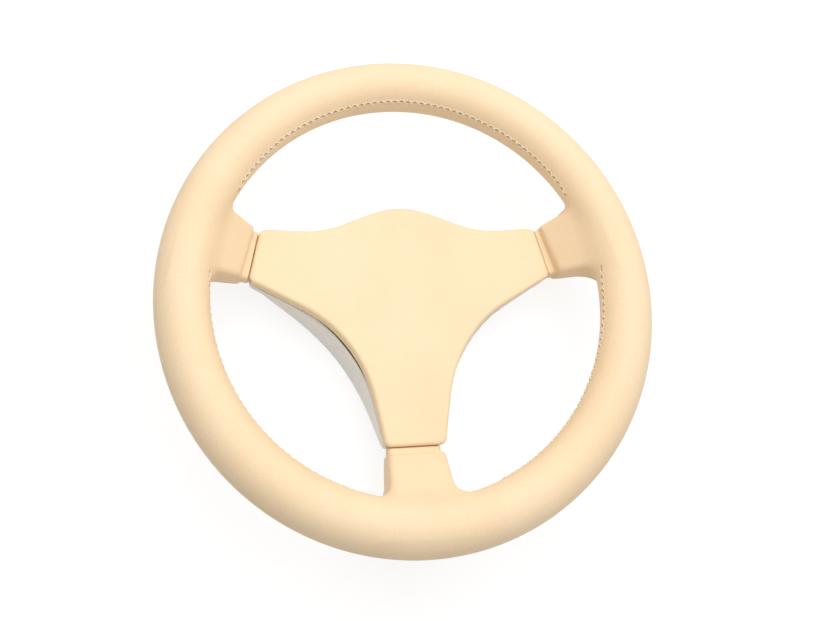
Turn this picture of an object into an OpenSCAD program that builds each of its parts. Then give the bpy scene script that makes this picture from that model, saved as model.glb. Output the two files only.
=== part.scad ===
// Steering wheel with three spokes, a leather covered rim and a sprung horn pad.
// The axis of the steering column is Z, the driver is at +Z, the top of the wheel is at +Y
// and the wheel lies on the rear of its shroud at Z = 0.

/* [Rim] */
// Diameter over the leather
rim_d = 360; // [340:1:400]
// Width of the grip, across the rim
grip_w = 37; // [32:0.5:40]
// Depth of the grip, along the column
grip_h = 40; // [34:0.5:44]
// Thickness of the leather
leather_t = 1.4; // [1:0.1:2]
// Diameter of the steel ring in the rim
core_d = 11; // [8:0.5:14]

/* [Stance] */
// Height of the pad's face over the rear face
face_h = 54; // [52:0.5:60]
// How far the pad's face lies behind the middle of the rim
dish = 28; // [22:0.5:32]

/* [Spokes] */
// Angle of the two side spokes over the horizontal
spoke_tilt = 12.5; // [6:0.5:18]
// How far the side spokes are set above a line through the axis
spoke_rise = 10.5; // [7:0.5:14]
// Length of a side spoke's leather root, from its end to the middle of the rim
side_root = 39.7; // [37:0.1:43]
// Length of the lower spoke's leather root, from its end to the middle of the rim
leg_root = 50.2; // [44:0.1:56]
// Width of a side spoke at its leather end
side_w = 40; // [37:0.5:43]
// Width of the lower spoke at its leather end
leg_w = 42.5; // [38:0.5:46]
// Thickness of a spoke at its leather end
spoke_t = 22; // [20:0.5:24]
// How far the leather's face at the end of a spoke stands over the pad's face
spoke_proud = 4; // [0:0.5:6]
// Lean of the leather end of a side spoke, whose upper corner reaches nearer to the pad
end_lean = 3; // [0:0.5:6]
// Rounding of a spoke's long edges
spoke_edge_r = 4.5; // [3:0.25:6]
// Slope of a spoke's face where it leaves its end
face_slope = 25; // [15:1:35]
// Angle by which each side of a spoke spreads towards the rim
flare = 10; // [6:0.5:14]
// Radius of the blend from the lower side of a side spoke into the rim
side_blend_r = 14; // [10:0.5:20]
// Radius of the blend from its upper side into the rim
upper_blend_r = 6; // [4:0.5:14]
// Radius of the blend from the lower spoke into the rim
leg_blend_r = 18; // [12:0.5:22]
// Thickness of the leather tongue that runs under the pad
tongue_t = 11; // [10:0.5:13]
// How far the tongue is set in from each side of its spoke
tongue_step = 2.5; // [1.5:0.25:4]
// How far the collar between pad and spoke lies below the pad's face
collar_drop = 2; // [1:0.25:4]
// How far the collar is set in from each side of its spoke
collar_step = 1.25; // [1.1:0.05:2]
// Gap between the collar and the pad
collar_gap = 0.8; // [0.5:0.1:1.5]
// Rounding of the long edges of tongue and collar
tongue_edge_r = 3; // [2:0.25:4]
// Length of the tongue
tongue_len = 17; // [14:0.5:20]

/* [Horn pad] */
// Gap between the pad and the leather end of each spoke
pad_gap = 5.3; // [4:0.1:7]
// Height of the hump over the shoulders
hump_h = 18; // [10:0.5:24]
// Half the width of the hump
hump_w = 70; // [55:1:80]
// Height of the shoulders over the axis
shoulder_y = 53.5; // [48:0.5:56]
// How much the shoulders rise to their ends
shoulder_rise = 3.2; // [1:0.2:5]
// Slope of the lower edge of an arm
arm_slope = 28.8; // [24:0.2:32]
// Slope of the side of the leg
leg_slope = 79.3; // [76:0.1:84]
// Radius of the waist between arm and leg
waist_r = 98; // [70:1:110]
// Height of the pad's side wall
pad_wall_h = 9.5; // [8:0.5:11]
// Thickness of the moulded foam at the sides
pad_side_t = 4; // [3:0.25:5]
// Thickness of the foam over the steel insert
pad_roof_t = 5.4; // [4:0.2:6]
// Rounding of the pad's front edge
pad_edge_r = 2.8; // [2:0.2:3.8]
// Radius of the pad's corners, seen from the front
pad_corner_r = 4.5; // [4:0.25:6]
// Crown of the pad's face
pad_crown = 2.5; // [0.5:0.1:4]
// Travel of the pad when the horn is pressed
horn_travel = 2; // [1:0.1:2.2]

/* [Shroud] */
// Wall of the rear shroud
shroud_t = 2.2; // [1.8:0.1:3]
// How far the shroud's sides stand in from the pad's
shroud_inset = 0.2; // [0:0.1:1.5]
// Radius of the shroud's waist between arm and leg
shroud_waist_r = 122; // [98:1:130]
// Gap between the pad, when pressed, and the shroud
pad_shroud_gap = 0.8; // [0.5:0.1:1.5]
// Radius of the flat rear face
rest_r = 55; // [48:0.5:57]
// How steeply the shroud rises from that face, 1 for a cone and 2 for a bowl
bowl_power = 1.4; // [1:0.1:2]
// Radius of the hole for the column
shroud_hole_r = 32; // [31:0.25:34]
// Height of the lip round that hole
shroud_lip_h = 6; // [4:0.5:8]

/* [Hub] */
// Diameter of the bore that centres the wheel on its column
bore_d = 18; // [16:0.1:20]
// Length of the plain part of the bore
pilot_len = 8.5; // [6:0.5:12]
// Number of splines
splines = 36; // [24:1:40]
// Depth of a spline
spline_h = 0.8; // [0.5:0.05:1.1]
// Radius of the recess for the column nut
nut_r = 14; // [12:0.25:15]
// Radius of the boss behind the flange
boss_r = 23; // [22:0.1:23.4]
// Radius of the nose in front of the flange
nose_r = 19; // [17:0.25:20]
// Radius of the flange
flange_r = 33; // [32:0.25:36]
// Thickness of the flange
flange_t = 6; // [4:0.25:7]
// Set back of the hub from the rear face
hub_back = 1.5; // [1:0.1:2.5]

/* [Armature] */
// Radius of the cast plate over the flange
plate_r = 40; // [38:0.5:43]
// Thickness of the cast plate and arms
cast_t = 6; // [5:0.25:6.5]
// How far the plate's rear side lies behind the pad's face
cast_drop = 26; // [25.5:0.25:27.5]
// Width of an arm
arm_w = 22; // [20:0.5:24]
// Thickness of the two ribs under an arm
rib_t = 3; // [2:0.25:4]
// Depth of those ribs
rib_h = 6; // [3:0.25:8]
// Diameter of the rivets that join the plate to the flange
rivet_d = 5; // [4:0.25:5.5]
// Radius of the circle of rivets
rivet_r = 28; // [27.5:0.25:28.5]

/* [Column side] */
// Outer radius of the slip ring
slip_r = 28; // [27.8:0.1:28.4]
// Width of the slip ring
slip_w = 7; // [6:0.25:8]
// Thickness of the slip ring
slip_t = 1.1; // [0.8:0.1:1.4]
// Outer radius of the cancel cam
cam_r = 30.5; // [30:0.1:31]
// Thickness of the cancel cam
cam_t = 5; // [4:0.25:6]
// Angle that each of its two lobes covers
lobe_sweep = 50; // [30:1:70]

/* [Horn switch] */
// Distance of the guide pins from the axis, along the spokes
pin_u = 50; // [48:0.5:52]
// Diameter of a guide pin
pin_d = 6; // [5.4:0.1:6.6]
// Diameter of the bush that a pin slides in
bush_d = 11; // [10:0.1:12]
// Diameter of the bush's flange
bush_flange_d = 16; // [15:0.25:18]
// Clearance of the pins in their bushes
pin_gap = 0.3; // [0.2:0.05:0.5]
// Wire of the springs
spring_wire = 1.1; // [0.8:0.05:1.2]
// Turns of a spring
spring_turns = 4; // [3:0.5:4.5]
// Thickness of the contact plate
contact_t = 1.5; // [1:0.1:2]
// Thickness of the washers that insulate the contact plate
washer_t = 2; // [1.6:0.1:2.4]
// How far the contacts lie inside the guide pins
contact_step = 16; // [14:0.5:17]
// Diameter of a contact
contact_d = 5; // [4:0.25:6]
// Thickness of the steel insert in the pad
insert_t = 1.6; // [1.2:0.1:2]
// How far the shroud's screws lie outside the guide pins
screw_step = 14; // [13:0.5:15]
// Diameter of the shroud's screws
screw_d = 4; // [3.5:0.1:4.5]
// Diameter of the horn's lead
lead_d = 2.2; // [1.6:0.1:2.6]

/* [Hidden] */
$fn = 64;

rim_r = (rim_d - grip_w) / 2;
rim_z = face_h + dish;
// Flat faces round the section of the grip
grip_steps = 28;
// Clearance between a moving piece and what it passes
run_gap = 0.5;

// Spokes: angle, rise, distance of the leather end, its width, the blend of its lower side into the
// rim, the lean, and the blend of its upper side
side_end = rim_r - side_root;
leg_end = rim_r - leg_root;
side_spoke = [spoke_tilt, spoke_rise, side_end, side_w, side_blend_r, end_lean, upper_blend_r];
leg_spoke = [-90, 0, leg_end, leg_w, leg_blend_r, 0, leg_blend_r];
// How far the tongue stays below the pad's face when the pad is pressed
tongue_drop = 3.5;
tongue_top = face_h - horn_travel - tongue_drop;
tongue_mid = tongue_top - tongue_t / 2;
// How deep tongue and collar run into the end of their spoke, and its chamfer
bar_sink = 4;
end_chamfer = 1;
// How far the foam's end stands in from the open end of the leather
open_end = 2;
// How deep a spoke's loft reaches into the rim
loft_end = rim_r - 0.19 * grip_w / 2;
// Where the upper face of a spoke runs out into the rim
loft_crest = rim_r - 0.62 * grip_w / 2;

pad_base = face_h - pad_wall_h;
insert_z = face_h - pad_roof_t - insert_t;
shroud_top = pad_base - horn_travel - pad_shroud_gap;
cast_z = face_h - cast_drop;
cast_top = cast_z + cast_t;
// Length over which an arm steps up from the plate into its tongue
step_len = 14;
contact_u = pin_u - contact_step;
screw_u = pin_u + screw_step;
lobe_w = 18;
head_t = 1.5;
nose_top = cast_top + 2;
nut_seat = cast_top - 4;
contact_z = cast_top + washer_t;
contact_top = contact_z + contact_t;
bush_top = contact_top + head_t;
bush_tail = cast_z - head_t;
pin_head_t = 2.5;
pin_head_z = bush_tail - pin_gap - pin_head_t;
pin_head_r = pin_d;
bush_hole_r = pin_d / 2 + pin_gap;
// Threaded end of a guide pin
pin_end_r = pin_d / 2 - 0.5;
// Step from a contact's head to its stem
stem_step = 1;
stem_r = contact_d / 2 - stem_step;
// How much narrower the pad's arms are than the side spokes on each side, and its leg wider
pad_step = 0.4;
// Room past the end of a tongue, under the pad
tongue_room = 8;
cam_z = hub_back + slip_t + 0.4;
cam_top = cam_z + cam_t;
seat_r = boss_r - 4.5;
lead_y = slip_r - 1.8;
lead_hole_r = lead_d / 2 + 1.2;
tail_r = 1.5;
tab_w = 8;
tab_end = plate_r + 1;

// Unit vector from a to b
function toward(a, b) = (b - a) / norm(b - a);
// The point (x, y) in the axes of a spoke, as the wheel sees it
function at_spoke(s, x, y) =
    [x * cos(s[0]) - (y + s[1]) * sin(s[0]), x * sin(s[0]) + (y + s[1]) * cos(s[0])];
function flip_x(p) = [-p[0], p[1]];
// Where the line through p in direction a crosses the line through q in direction b
function crossing(p, a, q, b) =
    p + a * ((q[0] - p[0]) * b[1] - (q[1] - p[1]) * b[0]) / (a[0] * b[1] - a[1] * b[0]);
// The corner at b between a and c, rounded with radius r in n steps
function rounded(a, b, c, r, n) =
    let(
        u = toward(b, a),
        v = toward(b, c),
        half = acos(u * v) / 2,
        middle = b + (u + v) / norm(u + v) * r / sin(half),
        from = b + u * r / tan(half) - middle,
        turn = (180 - 2 * half) * sign(u[1] * v[0] - u[0] * v[1])
    )
    [for (i = [0 : n])
        let(w = turn * i / n)
        middle + [from[0] * cos(w) - from[1] * sin(w), from[0] * sin(w) + from[1] * cos(w)]];
// The closed outline, moved inward by d
function inset(loop, d) =
    let(n = len(loop))
    [for (i = [0 : n - 1])
        let(t = toward(loop[(i + n - 1) % n], loop[(i + 1) % n]))
        loop[i] + d * [-t[1], t[0]]];
function ellipse(a, b, n) = [for (i = [0 : n - 1]) [a * cos(360 * i / n), b * sin(360 * i / n)]];
function smooth(x) = let(t = min(1, max(0, x))) t * t * (3 - 2 * t);

// Outline of the pad. The lower side runs from the foot of the leg to the middle of an arm's end,
// and the upper side has one point over each of its points.
arm_reach = side_end - pad_gap;
arm_half = side_w / 2 - pad_step;
leg_reach = leg_end - pad_gap;
leg_half = leg_w / 2 + pad_step;
arm_tip = at_spoke(side_spoke, arm_reach, 0);
arm_low = at_spoke(side_spoke, arm_reach, -arm_half);
arm_high = at_spoke(side_spoke, arm_reach, arm_half);
leg_foot = [leg_half, -leg_reach];
waist = crossing(arm_low, [cos(arm_slope), sin(arm_slope)],
    leg_foot, [cos(leg_slope), sin(leg_slope)]);
function pad_top_y(x) = shoulder_y + hump_h * (1 + cos(180 * min(1, x / hump_w))) / 2
    + shoulder_rise * pow(max(0, x - hump_w) / (arm_reach - hump_w), 1.5);
function under(r) = concat(
    [[0, -leg_reach]],
    rounded([0, -leg_reach], leg_foot, waist, pad_corner_r, 4),
    rounded(leg_foot, waist, arm_low, r, 10),
    rounded(waist, arm_low, arm_high, pad_corner_r, 4));
lower_side = under(waist_r);
upper_side = concat(
    [for (i = [0 : 16]) [lower_side[i][0], pad_top_y(lower_side[i][0])]],
    [for (p = rounded([hump_w, pad_top_y(hump_w)], arm_high, arm_tip, pad_corner_r, 4)) p]);
half_n = len(lower_side);
function loop(low) = concat(
    low,
    [arm_tip],
    [for (i = [half_n - 1 : -1 : 0]) upper_side[i]],
    [for (i = [1 : half_n - 1]) flip_x(upper_side[i])],
    [flip_x(arm_tip)],
    [for (i = [half_n - 1 : -1 : 1]) flip_x(low[i])]);
pad_loop = loop(lower_side);
shroud_loop = loop(under(shroud_waist_r));

// Closed skin through rings that have as many points each, with convex flat ends
module skin(rings) {
    n = len(rings[0]);
    top = (len(rings) - 1) * n;
    polyhedron(
        points = [for (ring = rings) each ring],
        faces = concat(
            [[for (i = [0 : n - 1]) i]],
            [[for (i = [n - 1 : -1 : 0]) top + i]],
            [for (k = [0 : n : top - 1])
                for (i = [0 : n - 1])
                    each [[k + i, k + n + i, k + (i + 1) % n],
                        [k + (i + 1) % n, k + n + i, k + n + (i + 1) % n]]]));
}

// Places its children in the axes of each spoke; $s is the spoke
module at_spokes() {
    for (side = [0, 1])
        mirror([side, 0, 0])
            rotate([0, 0, spoke_tilt])
                translate([0, spoke_rise, 0]) {
                    $s = side_spoke;
                    children();
                }
    rotate([0, 0, leg_spoke[0]]) {
        $s = leg_spoke;
        children();
    }
}
// The same, at distance u along the spokes
module at_all(u) {
    at_spokes()
        translate([u, 0, 0])
            children();
}
module disc(r, z, h) {
    translate([0, 0, z])
        cylinder(r = r, h = h);
}
module ring(r, hole, z, h) {
    difference() {
        disc(r, z, h);
        disc(hole, z - 1, h + 2);
    }
}
// Slab from u0 to u1 along a spoke, w wide and from z0 to z1 high
module slab(u0, u1, w, z0, z1) {
    translate([u0, -w / 2, z0])
        cube([u1 - u0, w, z1 - z0]);
}
module rivet_places() {
    for (i = [0 : 5])
        rotate([0, 0, 60 * i])
            translate([rivet_r, 0, 0])
                children();
}
module lead_hole(z, h) {
    translate([0, lead_y, 0])
        disc(lead_hole_r, z, h);
}

// Upper and lower face of a spoke at distance u, and half its width there, above its line where way
// is 1 and below it where way is -1
spoke_face = face_h + spoke_proud;
function spoke_upper(s, u) =
    let(
        t = min(1, (u - s[2]) / (loft_crest - s[2])),
        ramp = tan(face_slope) * (loft_crest - s[2])
    )
    spoke_face + ramp * t + (rim_z - spoke_face + 0.75 * grip_h / 2 - ramp) * pow(t, 4);
function spoke_lower(s, u) = spoke_face - spoke_t
    + (rim_z - spoke_face + spoke_t - 0.85 * grip_h / 2)
        * pow(max(0, u - s[2]) / (loft_end - s[2]), 1.5);
function spoke_half(s, u, way) =
    let(
        r = way > 0 ? s[6] : s[4],
        q = min(1, max(0, (u - (rim_r - 0.95 * grip_w / 2) + r) / r))
    )
    s[3] / 2 + tan(flare) * (u - s[2]) + r * (1 - sqrt(1 - q * q)) * 0.9;
// Section of a spoke at distance u, set in by t, with rounded corners; lean turns it
function spoke_section(s, u, t, lean) =
    let(
        r = spoke_edge_r - t,
        z1 = spoke_upper(s, u) - t,
        z0 = spoke_lower(s, u) + t
    )
    [for (c = [[1, 1, 0], [-1, 1, 90], [-1, -1, 180], [1, -1, 270]])
        for (a = [0 : 22.5 : 90])
            let(y = c[0] * (spoke_half(s, u, c[0]) - t - r) + r * cos(c[2] + a))
            [u - y * tan(lean), y,
                (z1 + z0) / 2 + c[1] * ((z1 - z0) / 2 - r) + r * sin(c[2] + a)]];
module spoke_loft(s, t) {
    skin([for (f = [0, 0.05, 0.16, 0.3, 0.45, 0.53, 0.6, 0.7, 0.78, 0.86, 1])
        let(u = s[2] + (f == 0 ? t : (loft_end - s[2]) * f))
        spoke_section(s, u, f == 0 ? t + end_chamfer : t, s[5] * (1 - f))]);
}
// Bar with rounded long edges that runs from distance u into the end of a spoke
module bar(s, u, w, bottom, top) {
    h = top - bottom;
    r = tongue_edge_r;
    translate([u, 0, (bottom + top) / 2])
        rotate([90, 0, 90])
            linear_extrude(s[2] + bar_sink - u)
                polygon([for (c = [[1, 1], [-1, 1], [-1, -1], [1, -1]])
                    for (i = [0 : 3])
                        let(a = atan2(c[1], c[0]) - 45 + 30 * i)
                        [c[0] * (w / 2 - r) + r * cos(a), c[1] * (h / 2 - r) + r * sin(a)]]);
}
// Rim and spokes, set in by t from the leather's surface
module grip_form(t, length) {
    translate([0, 0, rim_z])
        rotate_extrude()
            translate([rim_r, 0])
                polygon(ellipse(grip_w / 2 - t, grip_h / 2 - t, grip_steps));
    at_spokes() {
        spoke_loft($s, t);
        bar($s, $s[2] - length, $s[3] - 2 * (tongue_step + t),
            tongue_top - tongue_t + t, tongue_top - t);
        bar($s, $s[2] - pad_gap + collar_gap + t, $s[3] - 2 * (collar_step + t),
            tongue_top - tongue_t + t, face_h - collar_drop - t);
    }
}
module leather_wrap() {
    color([0.98, 0.89, 0.74])
        difference() {
            grip_form(0, tongue_len);
            grip_form(leather_t, tongue_len + open_end);
        }
}
module rim_foam() {
    color([0.25, 0.25, 0.26])
        difference() {
            grip_form(leather_t, tongue_len);
            core_ring(core_d / 2);
            arms();
            clamps();
        }
}

module core_ring(r) {
    translate([0, 0, rim_z])
        rotate_extrude()
            translate([rim_r, 0])
                circle(r = r, $fn = 24);
}
module rim_core() {
    color([0.4, 0.41, 0.43])
        core_ring(core_d / 2);
}

// Outer part of an arm of the casting: stepped up into the tongue and then rising through the
// spoke to the rim, with an even thickness on both sides of that line
module arm(s) {
    bend = arm_bend(s);
    foot = s[2] + cast_t / 2;
    path = concat(
        [[bend - step_len - 2, cast_z + cast_t / 2], [bend, tongue_mid], [foot, tongue_mid]],
        [for (i = [1 : 5])
            let(u = foot + (rim_r - 2 - foot) * i / 5)
            [u, arm_mid(s, u)]]);
    last = len(path) - 1;
    function side(i, d) =
        let(
            a = toward(path[max(0, i - 1)], path[max(1, i)]),
            b = toward(path[min(last - 1, i)], path[min(last, i + 1)]),
            n = toward([0, 0], [-a[1] - b[1], a[0] + b[0]])
        )
        path[i] + n * d / (n * [-a[1], a[0]]);
    translate([0, arm_w / 2, 0])
        rotate([90, 0, 0])
            linear_extrude(arm_w)
                polygon(concat(
                    [for (i = [0 : last]) side(i, -cast_t / 2)],
                    [for (i = [last : -1 : 0]) side(i, cast_t / 2)]));
}
function arm_bend(s) = s[2] - tongue_len - 6;
function arm_mid(s, u) =
    let(v = min(u, loft_end))
    (spoke_upper(s, v) + spoke_lower(s, v)) / 2;
module arms() {
    at_spokes()
        arm($s);
}
// The casting closes round the steel ring at the end of each arm
module clamps() {
    sweep = 12;
    for (side = [0, 1])
        mirror([side, 0, 0])
            clamp(spoke_tilt + asin(spoke_rise / rim_r), sweep);
    clamp(leg_spoke[0], sweep);
}
module clamp(angle, sweep) {
    rotate([0, 0, angle - sweep / 2])
        translate([0, 0, rim_z])
            rotate_extrude(angle = sweep)
                translate([rim_r, 0])
                    circle(r = core_d / 2 + 3.5, $fn = 24);
}
module armature() {
    color([0.72, 0.73, 0.74])
        difference() {
            union() {
                translate([0, 0, cast_z])
                    linear_extrude(cast_t) {
                        circle(r = plate_r);
                        at_spokes()
                            translate([nose_r + 4, -arm_w / 2])
                                square([arm_bend($s) - step_len - nose_r - 4, arm_w]);
                    }
                arms();
                clamps();
                at_spokes()
                    for (side = [-1, 1])
                        translate([0, side * (arm_w - rib_t) / 2, 0])
                            slab(flange_r + 1.5, arm_bend($s) - step_len, rib_t, cast_z - rib_h, cast_z + 1);
            }
            disc(nose_r, cast_z - 1, cast_t + 2);
            rivet_places()
                disc(rivet_d / 2, cast_z - 1, cast_t + 2);
            lead_hole(cast_z - 1, cast_t + 2);
            at_all(pin_u)
                disc(bush_d / 2, cast_z - 1, cast_t + 2);
            at_all(screw_u)
                disc(screw_d / 2, cast_z - 1, cast_t + 2);
            core_ring(core_d / 2);
        }
}

// Steel hub with a splined bore, a flange and a recess for the column nut
module spline_bore(z, h) {
    r = bore_d / 2 - 0.25;
    step = 360 / splines;
    translate([0, 0, z])
        linear_extrude(h)
            polygon([for (i = [0 : splines - 1])
                for (p = [[0, 0], [0.4, 0], [0.55, 1], [0.85, 1]])
                    let(a = (i + p[0]) * step)
                    (r - p[1] * spline_h) * [cos(a), sin(a)]]);
}
module hub() {
    color([0.5, 0.51, 0.53])
        difference() {
            union() {
                disc(seat_r, hub_back, cam_top - hub_back);
                disc(boss_r, cam_top, cast_z - cam_top);
                disc(flange_r, cast_z - flange_t, flange_t);
                disc(nose_r, cast_z, nose_top - cast_z);
            }
            disc(bore_d / 2, hub_back - 1, pilot_len + 1);
            spline_bore(hub_back + pilot_len, nut_seat - hub_back - pilot_len + 0.5);
            disc(nut_r, nut_seat, nose_top - nut_seat + 1);
            lead_hole(cast_z - flange_t - 1, flange_t + 2);
            rivet_places()
                disc(rivet_d / 2, cast_z - flange_t - 1, flange_t + 2);
        }
}
module rivets() {
    head = 1.2;
    color([0.6, 0.6, 0.62])
        rivet_places() {
            disc(rivet_d / 2, cast_z - flange_t, flange_t + cast_t);
            disc(rivet_d / 2 + 1.5, cast_z - flange_t - head, head);
            disc(rivet_d / 2 + 1.5, cast_top, head);
        }
}

// Ring pressed on the back of the hub, whose two lobes return the indicator stalk
module cancel_cam() {
    color([0.9, 0.88, 0.82])
        difference() {
            union() {
                disc(cam_r, cam_z, cam_t);
                for (a = [0, 180])
                    rotate([0, 0, a - lobe_sweep / 2])
                        rotate_extrude(angle = lobe_sweep)
                            translate([slip_r + run_gap, run_gap])
                                square([cam_r - slip_r - 2 * run_gap, cam_z]);
            }
            disc(seat_r, 0, cam_top + 1);
            translate([0, lead_y, 0])
                disc(tail_r, cam_z - 1, cam_t + 2);
        }
}
module slip_ring() {
    color([0.85, 0.68, 0.35]) {
        ring(slip_r, slip_r - slip_w, cam_z - slip_t, slip_t);
        translate([0, lead_y, 0])
            disc(tail_r, cam_z - slip_t, cam_t + slip_t + 2);
    }
}

// Lead from the slip ring to the contact plate, swept along its route with eight sides
function tangent(path, i) = toward(path[max(0, i - 1)], path[min(len(path) - 1, i + 1)]);
module tube(path, r) {
    skin([for (i = [0 : len(path) - 1])
        let(
            t = tangent(path, i),
            side = [1, 0, 0],
            up = cross(t, side)
        )
        [for (a = [0 : 45 : 315]) path[i] + r * (cos(a) * side + sin(a) * up)]]);
}
barrel_z = contact_top + 3.2;
module horn_lead() {
    start = cam_top + 2;
    turn = barrel_z - contact_top;
    color([0.75, 0.15, 0.12])
        tube(concat(
            [for (f = [0 : 0.25 : 1]) [0, lead_y, start + (contact_top - start) * f]],
            [for (a = [15 : 15 : 90]) [0, lead_y + turn * (1 - cos(a)), contact_top + turn * sin(a)]],
            [[0, lead_y + turn + 1.5, barrel_z]]), lead_d / 2);
}
module lead_terminal() {
    start = lead_y + barrel_z - contact_top + 1.5;
    color([0.86, 0.72, 0.42]) {
        translate([-3, start + 1, contact_top])
            cube([6, tab_end - start - 2, 0.8]);
        translate([-1, start + 1, contact_top])
            cube([2, 3, barrel_z - contact_top]);
        translate([0, start, barrel_z])
            rotate([-90, 0, 0])
                cylinder(r = lead_d / 2 + 0.6, h = 4);
    }
}

// Plate that carries the fixed contacts, insulated from the casting
module contact_plate() {
    color([0.78, 0.76, 0.68])
        difference() {
            union() {
                disc(rivet_r + 2, contact_z, contact_t);
                at_spokes()
                    slab(nose_r + 1, pin_u, lobe_w, contact_z, contact_z + contact_t);
                at_all(pin_u)
                    disc(lobe_w / 2, contact_z, contact_t);
                translate([-tab_w / 2, rivet_r - 2, contact_z])
                    cube([tab_w, tab_end - rivet_r + 2, contact_t]);
            }
            disc(nose_r + 3, contact_z - 1, contact_t + 2);
            lead_hole(contact_z - 1, contact_t + 2);
            at_all(pin_u)
                disc(bush_d / 2, contact_z - 1, contact_t + 2);
            at_all(contact_u)
                disc(stem_r, contact_z - 1, contact_t + 2);
        }
}
module plate_washers() {
    color([0.55, 0.2, 0.15])
        at_all(pin_u)
            ring(bush_flange_d / 2, bush_d / 2, cast_top, washer_t);
}
module guide_bushes() {
    color([0.93, 0.92, 0.88])
        at_all(pin_u)
            difference() {
                union() {
                    disc(bush_d / 2, bush_tail, contact_top - bush_tail);
                    disc(bush_flange_d / 2, contact_top, bush_top - contact_top);
                    disc(bush_d / 2 + 0.7, bush_tail, cast_z - bush_tail);
                }
                disc(bush_hole_r, bush_tail - 1, bush_top - bush_tail + 2);
            }
}
module fixed_contacts() {
    color([0.8, 0.5, 0.3])
        at_all(contact_u) {
            disc(contact_d / 2, contact_top, head_t);
            disc(stem_r, contact_z - 0.7, contact_t + 0.7);
            disc(stem_r + 0.6, contact_z - 0.7, 0.7);
        }
}

// Compression spring round a guide pin, with closed ends
module spring() {
    r = bush_hole_r + 0.7 + spring_wire / 2;
    height = insert_z - bush_top;
    steps = 14;
    count = spring_turns * steps;
    skin([for (i = [0 : count])
        let(
            a = 360 * i / steps,
            f = min(1, max(0, (i - 0.6 * steps) / (count - 1.2 * steps))),
            rise = spring_wire * 0.5 + (height - spring_wire) * f,
            out = [cos(a), sin(a), 0]
        )
        [for (b = [0 : 60 : 300])
            (r + spring_wire / 2 * cos(b)) * out + [0, 0, bush_top + rise + spring_wire / 2 * sin(b)]]]);
}
module horn_springs() {
    color([0.7, 0.7, 0.72])
        at_all(pin_u)
            spring();
}

// Headed pins that are screwed into the insert and slide in the bushes
module guide_pins() {
    color([0.66, 0.67, 0.7])
        at_all(pin_u) {
            disc(pin_d / 2, pin_head_z, insert_z - pin_head_z);
            disc(pin_head_r, pin_head_z, pin_head_t);
            disc(pin_end_r, insert_z, insert_t);
        }
}
module moving_contacts() {
    tip = bush_top + horn_travel + 0.1;
    color([0.8, 0.5, 0.3])
        at_all(contact_u) {
            disc(contact_d / 2, tip, head_t);
            disc(stem_r, tip, insert_z + insert_t - tip);
        }
}
module pad_insert() {
    color([0.58, 0.6, 0.6])
        difference() {
            translate([0, 0, insert_z])
                linear_extrude(insert_t)
                    polygon(inset(pad_loop, pad_side_t));
            at_spokes()
                slab(arm_bend($s) - tongue_room, rim_r, 2 * side_w,
                    insert_z - 1, insert_z + insert_t + 1);
            disc(nut_r + 3, insert_z - 1, insert_t + 2);
            at_all(pin_u)
                disc(pin_end_r, insert_z - 1, insert_t + 2);
            at_all(contact_u)
                disc(stem_r, insert_z - 1, insert_t + 2);
        }
}

// Moulded pad: rings follow the outline up the wall and round the edge, and the crowned face
// is laid in strips between the lower and the upper side
function crown(p) = pad_crown * (1 - (p * p) / (arm_reach * arm_reach));
module pad_skin() {
    n = half_n;
    size = 4 * n;
    bends = [0, 30, 60, 90];
    rings = concat(
        [[for (p = pad_loop) [p[0], p[1], pad_base]]],
        [for (a = bends)
            [for (p = inset(pad_loop, pad_edge_r * (1 - cos(a))))
                [p[0], p[1], face_h + crown(p) - pad_edge_r * (1 - sin(a))]]]);
    top = len(bends) * size;
    rows = 4;
    face = rings[len(bends)];
    // Points inside the face: rows between a lower point and the upper point over it
    middle = [for (side = [0, 1])
        for (k = [0 : n - 1])
            for (j = [1 : rows - 1])
                let(
                    low = face[side == 0 ? k : (size - k) % size],
                    high = face[side == 0 ? 2 * n - k : 2 * n + k],
                    p = low + (high - low) * j / rows
                )
                [p[0], p[1], face_h + crown([p[0], p[1]])]];
    first = (len(bends) + 1) * size;
    function spot(side, k, j) =
        k == n ? top + (side == 0 ? n : 3 * n)
        : j == 0 ? top + (side == 0 ? k : (size - k) % size)
        : j == rows ? top + (side == 0 ? 2 * n - k : 2 * n + k)
        : first + side * n * (rows - 1) + k * (rows - 1) + j - 1;
    function turned(side, f) = side == 0 ? f : [f[0], f[2], f[1]];
    polyhedron(
        points = concat([for (ring = rings) each ring], middle),
        faces = concat(
            [for (k = [0 : size : top - 1])
                for (i = [0 : size - 1])
                    each [[k + i, k + size + i, k + (i + 1) % size],
                        [k + (i + 1) % size, k + size + i, k + size + (i + 1) % size]]],
            [for (side = [0, 1])
                for (k = [0 : n - 2])
                    for (j = [0 : rows - 1])
                        each [turned(side, [spot(side, k, j), spot(side, k, j + 1), spot(side, k + 1, j)]),
                            turned(side, [spot(side, k + 1, j), spot(side, k, j + 1),
                                spot(side, k + 1, j + 1)])]],
            [for (side = [0, 1])
                for (j = [0 : rows - 1])
                    turned(side, [spot(side, n - 1, j), spot(side, n - 1, j + 1), spot(side, n, 0)])],
            [for (k = [0 : n - 2])
                each [[k, k + 1, 2 * n - k], [k + 1, 2 * n - k - 1, 2 * n - k],
                    [(size - k) % size, 2 * n + k, size - k - 1], [size - k - 1, 2 * n + k, 2 * n + k + 1]]],
            [[n - 1, n, n + 1], [3 * n + 1, 3 * n - 1, 3 * n]]));
}
module pad_cover() {
    color([0.99, 0.9, 0.76])
        difference() {
            pad_skin();
            translate([0, 0, pad_base - 1])
                linear_extrude(face_h - pad_roof_t - pad_base + 1)
                    polygon(inset(pad_loop, pad_side_t));
            at_spokes()
                slab(arm_bend($s) - tongue_room + 2, rim_r, $s[3] - 2 * tongue_step + 2 * run_gap,
                    pad_base - 1, tongue_top + horn_travel + run_gap);
        }
}

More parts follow.
